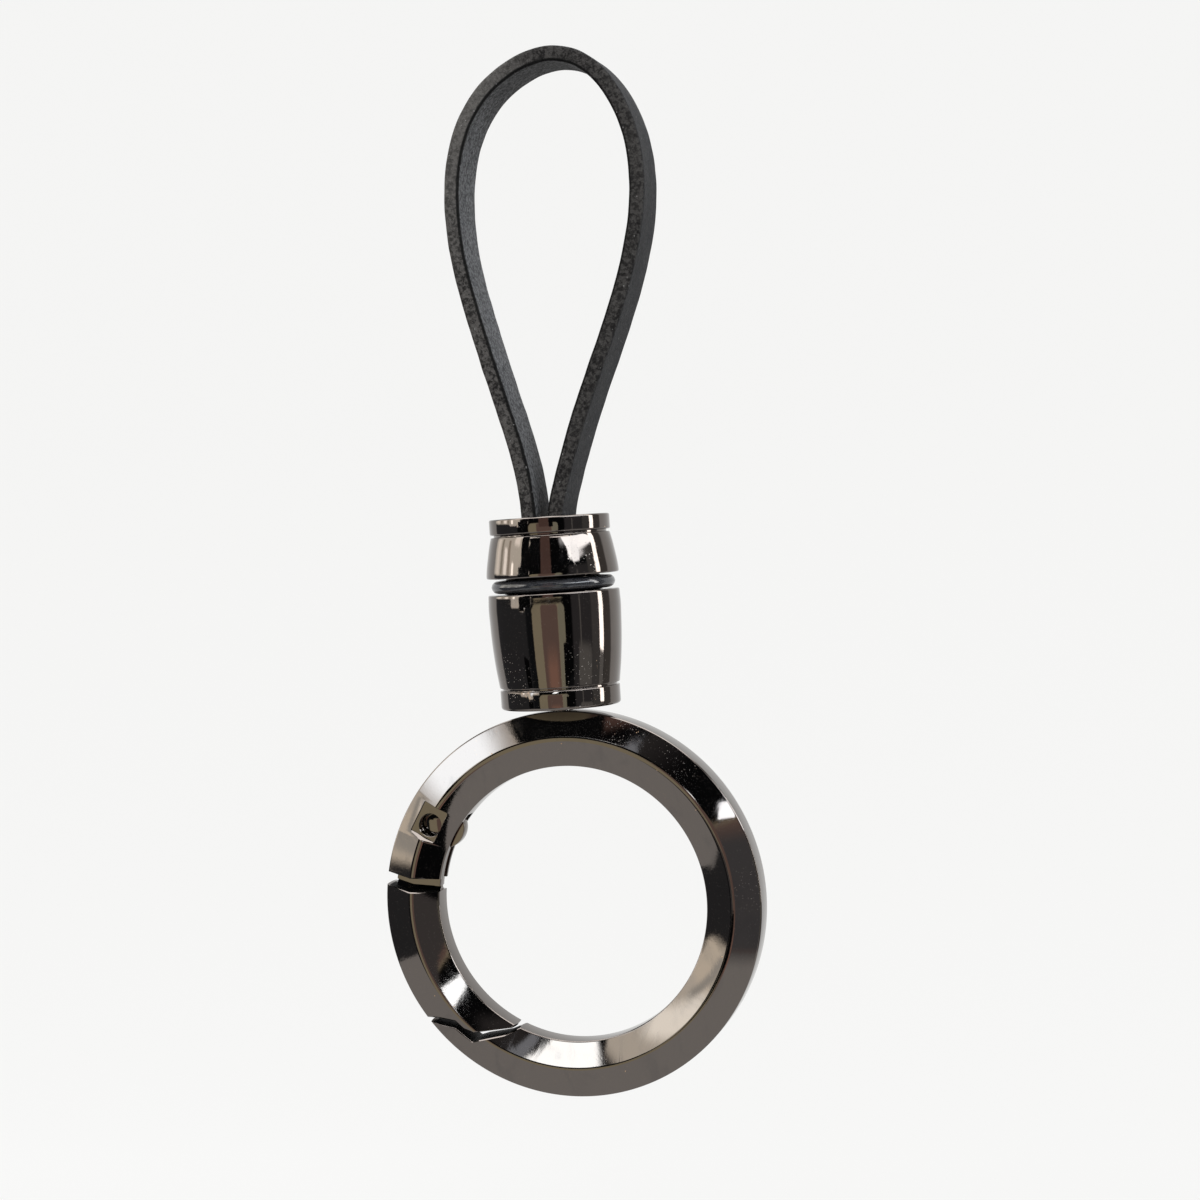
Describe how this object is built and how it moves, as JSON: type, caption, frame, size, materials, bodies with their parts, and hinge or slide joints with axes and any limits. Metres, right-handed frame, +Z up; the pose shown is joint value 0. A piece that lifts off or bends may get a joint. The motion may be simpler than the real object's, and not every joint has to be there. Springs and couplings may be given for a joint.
{
  "type": "strap key holder",
  "caption": "Key holder with a flat leather strap loop, a turned metal barrel with a rubber ring, and a swivelling spring gate ring for keys.",
  "frame": {"origin": "hook seat: the middle of the inside of the top of the strap's loop, where a hook or a belt carries it", "axes": "+Z up along the barrel, from the ring to the loop; -Y is the front of the ring; the gate is at -X"},
  "size_m": [0.035, 0.012, 0.0941],
  "materials": {
    "leather": "matte, fine grain",
    "black_nickel": "polished black nickel plate",
    "rubber": "matte",
    "steel": "satin",
    "brass": "satin"
  },
  "bodies": {
    "holder": {"strap": "leather", "strap_ferrule": "brass", "strap_pin": "steel", "collar": "black_nickel", "rubber_ring": "rubber", "barrel": "black_nickel", "swivel_washer": "steel"},
    "ring": {"ring_body": "black_nickel", "swivel_post": "steel", "gate_pin": "black_nickel", "gate_spring": "steel"},
    "gate": {"gate": "black_nickel"}
  },
  "joints": [
    {"name": "ring_swivel", "type": "hinge", "parent": "holder", "child": "ring", "pos_m": [-0.0033, 0, -0.0575], "axis": [0, 0, 1], "continuous": true},
    {"name": "gate_hinge", "type": "hinge", "parent": "ring", "child": "gate", "pos_m": [-0.01607, 0, -0.06756], "axis": [0, -1, 0], "range_deg": [0, 25], "stiffness_Nm_per_rad": 0.008, "springref_deg": -34.38, "deforming": ["gate_spring"]}
  ]
}
